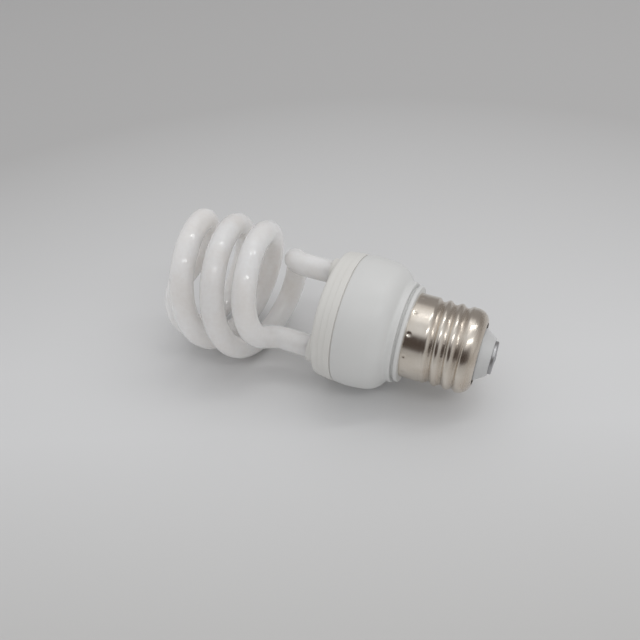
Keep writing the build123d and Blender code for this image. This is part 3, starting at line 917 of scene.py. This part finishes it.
@dataclass
class TubeCover(Piece):
    """The holder that closes the housing and carries the glass in two collars."""

    face_x: float = -50.7
    parting_x: float = -44.0
    parting_round: float = 0.25
    radius: float = 20.4
    rounding: float = 2.6
    wall: float = 1.6
    terrace: float = 0.2
    terrace_ends: Span = (2.6, 4.4)
    terrace_run: float = 0.1
    groove: float = 0.28
    groove_depth: float = 0.4
    tongue_end_x: float = -41.0
    tongue_r: float = 18.65
    tongue_wall: float = 1.3
    tongue_root: float = 2.0
    tongue_round: float = 0.15
    collar_r: float = 4.6
    collar_bore_r: float = 3.85
    collar_height: float = 4.3
    collar_sink: float = 0.4
    foot: float = 0.55
    foot_edge: float = 0.02
    foot_round: float = 0.5
    mouth_round: float = 0.3
    bore_round: float = 0.2
    leg_circle_r: float = 12.3
    leg_angle: float = 44.0
    segments: int = 220
    corner_steps: int = 10
    collar_segments: int = 72
    collar_corner_steps: int = 5

    def shell_outline(self) -> list[Place]:
        """The holder's face, its side in three low steps, and its tongue.

        Returns:
            X and radius of each point.
        """
        face, parting, end = self.face_x, self.parting_x, self.tongue_end_x
        low, high = self.radius - 2 * self.terrace, self.radius - self.terrace
        first, second = (face + run for run in self.terrace_ends)
        groove_x, groove_r = parting - self.groove, self.radius - self.groove_depth
        inner, tongue_inner = self.radius - self.wall, self.tongue_r - self.tongue_wall
        return soften([
            (face, 0.0, 0.0), (face, low, self.rounding), (first, low, 0.0),
            (first + self.terrace_run, high, self.terrace_run), (second, high, 0.0),
            (second + self.terrace_run, self.radius, self.terrace_run),
            (groove_x, self.radius, self.parting_round), (groove_x, groove_r, 0.0),
            (parting, groove_r, 0.0), (parting, self.tongue_r, 0.0),
            (end, self.tongue_r, self.tongue_round), (end, tongue_inner, self.tongue_round),
            (parting - self.tongue_root, tongue_inner, 0.0),
            (parting - self.tongue_root, inner, 0.0),
            (face + self.wall, inner, self.rounding - self.wall), (face + self.wall, 0.0, 0.0),
        ], self.corner_steps)

    def collar_outline(self) -> list[Place]:
        """One collar with a soft foot and a rounded mouth.

        Returns:
            X and radius of each point.
        """
        face, foot_r = self.face_x, self.collar_r + self.foot
        top = face - self.collar_height
        return soften([
            (face + self.collar_sink, foot_r, 0.0), (face - self.foot_edge, foot_r, 0.0),
            (face - self.foot, self.collar_r, self.foot_round),
            (top, self.collar_r, self.mouth_round), (top, self.collar_bore_r, self.bore_round),
            (face + self.collar_sink, self.collar_bore_r, 0.0),
        ], self.collar_corner_steps)

    def build(self) -> bpy.types.Object:
        """Make the holder and dress it.

        Returns:
            The holder.
        """
        shapes = [lathe(self.shell_outline(), self.segments)]
        for turn in (0.0, HALF_TURN):
            place = around(self.leg_circle_r, self.leg_angle + turn)
            shapes.append(lathe(self.collar_outline(), self.collar_segments, place))
        mesh = closed_mesh("tube_cover", *joined(shapes))
        return self.dress("tube_cover", mesh, COVER, "holder_plastic", ["tube_holder"])


@dataclass
class BallastCase(Piece):
    """The round housing with its shoulder, collar, groove and lip."""

    parting_x: float = -44.0
    parting_round: float = 0.25
    radius: float = 20.4
    wall: float = 1.6
    belly_r: float = 20.65
    belly_x: float = -40.6
    belly_fall: float = 1.7
    shoulder_centre: Place = (-35.8, 13.0)
    shoulder_r: float = 7.1
    shoulder_from: float = 10.0
    shoulder_to: float = 61.6
    collar_x: float = -29.0
    collar_r: float = 15.75
    collar_round: float = 0.9
    collar_edge: float = 0.35
    groove_x: float = -27.35
    groove_r: float = 14.2
    lip_x: float = -26.55
    lip_r: float = 15.0
    lip_edge: float = 0.22
    lip_round: float = 0.45
    neck_x: float = -25.4
    neck_inner_r: float = 13.1
    neck_reach: float = 0.6
    neck_round: float = 0.4
    spigot_x: float = -21.0
    spigot_r: float = 12.55
    spigot_edge: float = 0.2
    bore_r: float = 10.95
    nook: float = 0.1
    side_points: int = 14
    shoulder_steps: int = 22
    corner_steps: int = 5
    segments: int = 240

    def side(self, inset: float) -> list[Point]:
        """The bulging side from the parting line to the shoulder's end.

        Args:
            inset: How far it is drawn in.

        Returns:
            X, radius and rounding of each corner.
        """
        start, belly = self.radius - inset, self.belly_r - inset
        shoulder = arc(self.shoulder_centre, self.shoulder_r - inset, self.shoulder_from,
                       self.shoulder_to, self.shoulder_steps)
        span = shoulder[0][0] - self.parting_x
        rise = (self.belly_x - self.parting_x) / span
        points = []
        for share in np.linspace(0, 1, self.side_points, endpoint=False):
            if share < rise:
                radius = start + (belly - start) * math.sin(math.pi / 2 * share / rise)
            else:
                fall = (share - rise) / (1 - rise)
                radius = belly + (shoulder[0][1] - belly) * fall**self.belly_fall
            rounding = self.parting_round if share == 0 else 0.0
            points.append((self.parting_x + span * share, radius, rounding))
        return points + shoulder

    def outline(self) -> list[Place]:
        """The housing's whole wall.

        Returns:
            X and radius of each point.
        """
        step_x = self.neck_x - self.wall
        return soften([
            *self.side(0.0),
            (self.collar_x, self.collar_r, self.collar_round),
            (self.groove_x, self.collar_r, self.collar_edge),
            (self.groove_x, self.groove_r, self.nook), (self.lip_x, self.groove_r, self.nook),
            (self.lip_x, self.lip_r, self.lip_edge), (self.neck_x, self.lip_r, self.lip_round),
            (self.neck_x, self.spigot_r, self.nook),
            (self.spigot_x, self.spigot_r, self.spigot_edge),
            (self.spigot_x, self.bore_r, self.spigot_edge),
            (step_x, self.bore_r, self.nook), (step_x, self.neck_inner_r, self.nook),
            (self.collar_x - self.neck_reach, self.neck_inner_r, self.neck_round),
            *self.side(self.wall)[::-1],
        ], self.corner_steps)

    def build(self) -> bpy.types.Object:
        """Make the housing and dress it."""
        mesh = closed_mesh("ballast_case", *lathe(self.outline(), self.segments))
        return self.dress("ballast_case", mesh, CASE, "case_plastic", ["ballast_housing"])


@dataclass
class ScrewCap(Piece):
    """The cap's thin shell with its rolled thread, bead, curled rim and stake marks."""

    back_x: float = -25.4
    skirt_end_x: float = -19.8
    skirt_step: float = 0.9
    skirt_r: float = 13.1
    wall: float = 0.45
    crest_r: float = 13.06
    root_r: float = 12.1
    pitch: float = 3.629
    ridge_width: float = 3.3
    ridge_power: float = 0.8
    thread_start_x: float = -23.5
    thread_turns: float = 4.1
    thread_fade: float = 0.08
    valley_blend: float = 0.25
    bead_r: float = 12.95
    bead_x: float = -8.4
    bead_rise: float = 1.3
    rim_x: float = -4.5
    rim_r: float = 8.3
    rim_curl: tuple[Place, ...] = ((0.05, -0.1), (0.0, -0.22))
    dent_x: float = -24.2
    dent_first: float = 17.0
    dent_count: int = 12
    dent_depth: float = 0.22
    dent_spread: float = 0.48
    dent_power: float = 2.4
    outer_points: int = 96
    inner_points: int = 30
    crown_points: int = 16
    segments: int = 300
    sharp: float = 60.0

    def plain_radius(self, x: float) -> float:
        """Outer radius of the cap without its thread.

        Args:
            x: Place along the axis.

        Returns:
            The radius.
        """
        if x <= self.skirt_end_x:
            return self.skirt_r
        if x <= self.skirt_end_x + self.skirt_step:
            share = (x - self.skirt_end_x) / self.skirt_step
            return self.skirt_r + (self.root_r - self.skirt_r) * eased(share)
        if x <= self.bead_x - self.bead_rise:
            return self.root_r
        if x <= self.bead_x:
            share = (x - self.bead_x + self.bead_rise) / self.bead_rise
            return self.root_r + (self.bead_r - self.root_r) * eased(share)
        return self.bead_r

    def thread_radius(self, x: float, degrees: float) -> float:
        """Outer radius of the rolled ridge that passes nearest to a place.

        Args:
            x: Place along the axis.
            degrees: Angle round it.

        Returns:
            The radius, or 0 where no ridge passes.
        """
        turn = ((degrees - QUARTER_TURN) % FULL_TURN) / FULL_TURN
        best = 0.0
        for lap in range(-1, math.ceil(self.thread_turns) + 1):
            turns = lap + turn
            if turns < -self.thread_fade or turns > self.thread_turns + self.thread_fade:
                continue
            offset = (x - self.thread_start_x - self.pitch * turns) / (self.ridge_width / 2)
            if abs(offset) >= 1:
                continue
            fade = min(1.0, (turns + self.thread_fade) / (2 * self.thread_fade),
                       (self.thread_turns + self.thread_fade - turns) / (2 * self.thread_fade))
            wave = 0.5 + 0.5 * math.cos(math.pi * offset)
            height = (self.crest_r - self.root_r) * wave**self.ridge_power
            best = max(best, self.root_r + height * max(fade, 0.0))
        return best

    def dent(self, x: float, degrees: float) -> float:
        """How far a stake mark presses the skirt in.

        Args:
            x: Place along the axis.
            degrees: Angle round it.

        Returns:
            The depth.
        """
        if x > self.skirt_end_x:
            return 0.0
        step = FULL_TURN / self.dent_count
        away = (degrees - self.dent_first + step / 2) % step - step / 2
        run = math.radians(away) * self.skirt_r
        distance = ((x - self.dent_x) ** 2 + run**2) ** 0.5
        return self.dent_depth * math.exp(-((distance / self.dent_spread) ** self.dent_power))

    def outer(self, degrees: float) -> list[Place]:
        """Outside of the shell from the edge to the bead.

        Args:
            degrees: Angle round the axis.

        Returns:
            X and radius of each point.
        """
        points = []
        for x in map(float, np.linspace(self.back_x, self.bead_x, self.outer_points)):
            plain, ridge = self.plain_radius(x), self.thread_radius(x, degrees)
            gap = max(self.valley_blend - abs(plain - ridge), 0.0)
            radius = max(plain, ridge) + (gap * gap if ridge > 0 else 0.0)
            points.append((x, min(radius, self.skirt_r) - self.dent(x, degrees)))
        return points

    def crown(self, inset: float) -> list[Place]:
        """The rounded end from the bead to the rim.

        Args:
            inset: How far it is drawn in.

        Returns:
            X and radius of each point.
        """
        rise = self.bead_r - self.rim_r
        run = self.rim_x - self.bead_x
        radius = (run**2 + rise**2) / (2 * rise)
        middle = self.bead_r - radius
        reach = radius - inset
        angles = np.linspace(math.pi / 2, math.acos(run / radius), self.crown_points)[1:]
        return [(self.bead_x + reach * math.cos(a), middle + reach * math.sin(a)) for a in angles]

    def outline(self, degrees: float) -> list[Place]:
        """The shell's whole wall: outside, rim, inside and edge.

        Args:
            degrees: Angle round the axis.

        Returns:
            X and radius of each point.
        """
        outside = self.outer(degrees) + self.crown(0.0)
        rim_x, rim_r = outside[-1]
        rim = [(rim_x + ahead, rim_r + out) for ahead, out in self.rim_curl]
        inner_x = map(float, np.linspace(self.bead_x, self.back_x, self.inner_points))
        inside = [(x, self.plain_radius(x) - self.wall) for x in inner_x]
        return outside + rim + self.crown(self.wall)[::-1] + inside

    def build(self) -> bpy.types.Object:
        """Make the shell and dress it.

        Returns:
            The shell.
        """
        angles = [FULL_TURN * index / self.segments for index in range(self.segments)]
        skin = ring_grid([self.outline(angle) for angle in angles], angles)
        mesh = closed_mesh("cap_shell", *skin, sharp=self.sharp)
        return self.dress("cap_shell", mesh, NICKEL, "cap_nickel", ["screw_shell"])


@dataclass
class CapTip(Piece):
    """The insulator's cone and the centre contact with its solder."""

    rim_x: float = -4.5
    base_r: float = 8.0
    base_run: Span = (-0.75, 0.25)
    base_edge: float = 0.1
    nose_r: float = 5.7
    nose_round: float = 0.35
    inner_x: float = -8.8
    inner_r: float = 11.5
    inner_edge: float = 0.3
    inner_depth: float = 1.2
    inner_round: float = 0.8
    contact_r: float = 5.0
    contact_t: float = 1.0
    contact_edge: float = 0.12
    contact_round: float = 0.38
    hole_r: float = 1.0
    solder_rise: float = 0.28
    solder_spread: float = 1.7
    solder_flat: float = 1.2
    solder_sink: float = 0.06
    solder_fit: float = 0.98
    solder_steps: int = 10
    solder_segments: int = 48
    corner_steps: int = 6
    segments: int = 160

    def insulator(self) -> bpy.types.Object:
        """The moulded cone, with the collar behind the rim that holds it.

        Returns:
            The cone.
        """
        base_from, base_to = (self.rim_x + run for run in self.base_run)
        outline = soften([
            (self.inner_x, self.hole_r, 0.0), (self.inner_x, self.inner_r, self.inner_edge),
            (self.inner_x + self.inner_depth, self.inner_r, self.inner_round),
            (base_from, self.base_r, self.base_edge), (base_to, self.base_r, self.nose_round),
            (-self.contact_t, self.nose_r, self.nose_round), (-self.contact_t, self.hole_r, 0.0),
        ], self.corner_steps)
        mesh = closed_mesh("insulator_cone", *lathe(outline, self.segments))
        return self.dress("insulator_cone", mesh, VITREOUS, "insulator", ["cap_insulator"])

    def contact(self) -> bpy.types.Object:
        """The round contact plate.

        Returns:
            The plate.
        """
        outline = soften([
            (-self.contact_t, self.hole_r, 0.0),
            (-self.contact_t, self.contact_r, self.contact_edge),
            (0.0, self.contact_r, self.contact_round), (0.0, self.hole_r, self.contact_edge),
        ], self.corner_steps)
        mesh = closed_mesh("contact_plate", *lathe(outline, self.segments))
        return self.dress("contact_plate", mesh, TIP, "contact_nickel", ["centre_contact"])

    def solder(self) -> bpy.types.Object:
        """The low blob of solder in the contact's middle.

        Returns:
            The blob.
        """
        blob_r, stem_r = self.hole_r * self.solder_spread, self.hole_r * self.solder_fit
        angles = [math.pi / 2 * step / self.solder_steps for step in range(self.solder_steps + 1)]
        outline = [
            (-self.contact_t, 0.0),
            *((self.solder_rise * math.cos(a) ** self.solder_flat, blob_r * math.sin(a))
              for a in angles),
            (-self.solder_sink, blob_r * self.solder_fit), (-self.solder_sink, stem_r),
            (-self.contact_t, stem_r),
        ]
        mesh = closed_mesh("solder_blob", *lathe(outline, self.solder_segments))
        return self.dress("solder_blob", mesh, SOLDER, "tin_solder", ["contact_solder"])

    def build(self) -> None:
        """Make all three."""
        self.insulator()
        self.contact()
        self.solder()


@dataclass
class Ballast(Piece):
    """The circuit inside: the solids keep their shapes and take their finishes."""

    def build(self) -> None:
        """Dress each solid that no piece stands for."""
        for name, finish in NODE_FINISHES.items():
            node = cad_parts[name]
            node.data.materials.clear()
            node.data.materials.append(self.shelf.get(finish))
            LOG.info("%s: finished as %s", name, finish.name)


# Studio


@dataclass(frozen=True)
class Lamp:
    """A flat lamp that faces the bulb: side, height, size in mm, watts and its long way."""

    name: str
    azimuth: float
    elevation: float
    size: Place
    power: float
    heading: Point
    distance: float = 1000.0

    def place(self, aim: Vector) -> None:
        """Put the lamp in the scene.

        Args:
            aim: The point it faces, in metres.
        """
        data = bpy.data.lights.new(self.name, "AREA")
        data.shape = "RECTANGLE"
        data.size, data.size_y = self.size[0] * MM, self.size[1] * MM
        data.energy = self.power
        side, height = math.radians(self.azimuth), math.radians(self.elevation)
        flat = math.cos(height)
        towards = Vector((flat * math.cos(side), flat * math.sin(side), math.sin(height)))
        across = Vector(self.heading)
        across = (across - towards * across.dot(towards)).normalized()
        turn = Matrix((across, towards.cross(across), towards)).transposed().to_4x4()
        lamp = bpy.data.objects.new(self.name, data)
        lamp.matrix_world = Matrix.Translation(aim + towards * self.distance * MM) @ turn
        bpy.context.scene.collection.objects.link(lamp)


@dataclass(frozen=True)
class SoftRoom:
    """An even bright room, which mirrors see with a dark side in front and a wall behind."""

    light: Colour = (0.98, 0.985, 1.0)
    strength: float = 0.69
    wall: Colour = (0.42, 0.40, 0.39)
    wall_depth: Span = (-0.7, -0.1)
    wall_top: Span = (0.75, 0.95)
    dark: Colour = (0.085, 0.062, 0.052)
    dark_depth: Span = (0.25, 0.7)
    dark_foot: Span = (-0.05, 0.1)
    dark_top: Span = (0.62, 0.76)

    def build(self) -> None:
        """Set up the world."""
        world = bpy.data.worlds.new("soft_room")
        bpy.context.scene.world = world
        world.use_nodes = True
        book = NodeBook("", world.node_tree)
        sky = book.make("ShaderNodeTexCoord", output="Generated")
        front, height = book.along_axis(sky, 1) * -1.0, book.along_axis(sky, 2)
        dark = (front.between(*self.dark_depth) * height.between(*self.dark_foot)
                * (1 - height.between(*self.dark_top)))
        behind = (1 - front.between(*self.wall_depth)) * (1 - height.between(*self.wall_top))
        seen = book.blend(dark, book.blend(behind, self.light, self.wall), self.dark)
        mirror = book.make("ShaderNodeLightPath", output="Is Glossy Ray")
        room = book.make("ShaderNodeBackground", inputs={
            "Color": book.blend(mirror, self.light, seen), "Strength": self.strength})
        book.make("ShaderNodeOutputWorld", inputs={"Surface": room})


@dataclass
class Studio:
    """Floor, soft lights and the camera."""

    eye: Point = (4.3194, -140.8469, 133.7806)
    yaw: float = 23.067
    pitch: float = 42.165
    roll: float = 0.1833
    focal_px: float = 640.0
    image_px: float = 640.0
    sensor_mm: float = 36.0
    clip_m: Span = (0.005, 20.0)
    floor_low: Place = (-76.5, -23.3)
    floor_high: Place = (-40.6, -20.7)
    floor_reach: float = 2600.0
    aim: Point = (-55.0, 0.0, 0.0)
    lamps: list[Lamp] = field(default_factory=lambda: [
        Lamp("strip_back", 47.0, 65.0, (800.0, 80.0), 1.0, (0.83, 0.38, -0.40)),
        Lamp("strip_front", -36.0, 56.0, (800.0, 80.0), 1.0, (0.83, 0.47, -0.28)),
        Lamp("overhead", 115.0, 70.0, (1000.0, 1000.0), 1.0, (1.0, 0.0, 0.0)),
    ])

    def camera(self) -> None:
        """The camera at the photograph's place and angle."""
        data = bpy.data.cameras.new("camera")
        data.sensor_width = self.sensor_mm
        data.lens = self.sensor_mm * self.focal_px / self.image_px
        data.clip_start, data.clip_end = self.clip_m
        view = bpy.data.objects.new("camera", data)
        yaw, pitch, roll = (math.radians(v) for v in (self.yaw, self.pitch, self.roll))
        level = math.cos(pitch)
        ahead = Vector((-math.sin(yaw) * level, math.cos(yaw) * level, -math.sin(pitch)))
        right = Vector((math.cos(yaw), math.sin(yaw), 0.0))
        up = right.cross(ahead)
        side = right * math.cos(roll) + up * math.sin(roll)
        top = up * math.cos(roll) - right * math.sin(roll)
        turn = Matrix((side, top, -ahead)).transposed().to_4x4()
        view.matrix_world = Matrix.Translation(Vector(self.eye) * MM) @ turn
        bpy.context.scene.collection.objects.link(view)
        bpy.context.scene.camera = view

    def floor(self) -> None:
        """A wide pale floor that touches the coil and the housing where they rest."""
        (low_x, low_z), (high_x, high_z) = self.floor_low, self.floor_high
        slope = (high_z - low_z) / (high_x - low_x)
        corners = []
        for along, across in ((-1, -1), (1, -1), (1, 1), (-1, 1)):
            x, y = along * self.floor_reach, across * self.floor_reach
            corners.append((x * MM, y * MM, (high_z + slope * (x - high_x)) * MM))
        mesh = bpy.data.meshes.new("floor")
        mesh.from_pydata(corners, [], [(0, 1, 2, 3)])
        plane = add_object("floor", mesh)
        mesh.materials.append(PaleFloorWithPaintedLight(self.yaw).build())

    def build(self) -> None:
        """Set up the shot."""
        self.camera()
        self.floor()
        for lamp in self.lamps:
            lamp.place(Vector(self.aim) * MM)
        SoftRoom().build()
        bpy.context.scene.view_settings.view_transform = "Standard"


def main() -> None:
    """Build and dress every piece, then set up the shot."""
    logging.basicConfig(level=logging.INFO, format="%(message)s")
    shelf = FinishShelf()
    GlassCoil(shelf).build()
    TubeCover(shelf).build()
    BallastCase(shelf).build()
    ScrewCap(shelf).build()
    CapTip(shelf).build()
    Ballast(shelf).build()
    Studio().build()


if __name__ == "__main__":
    main()
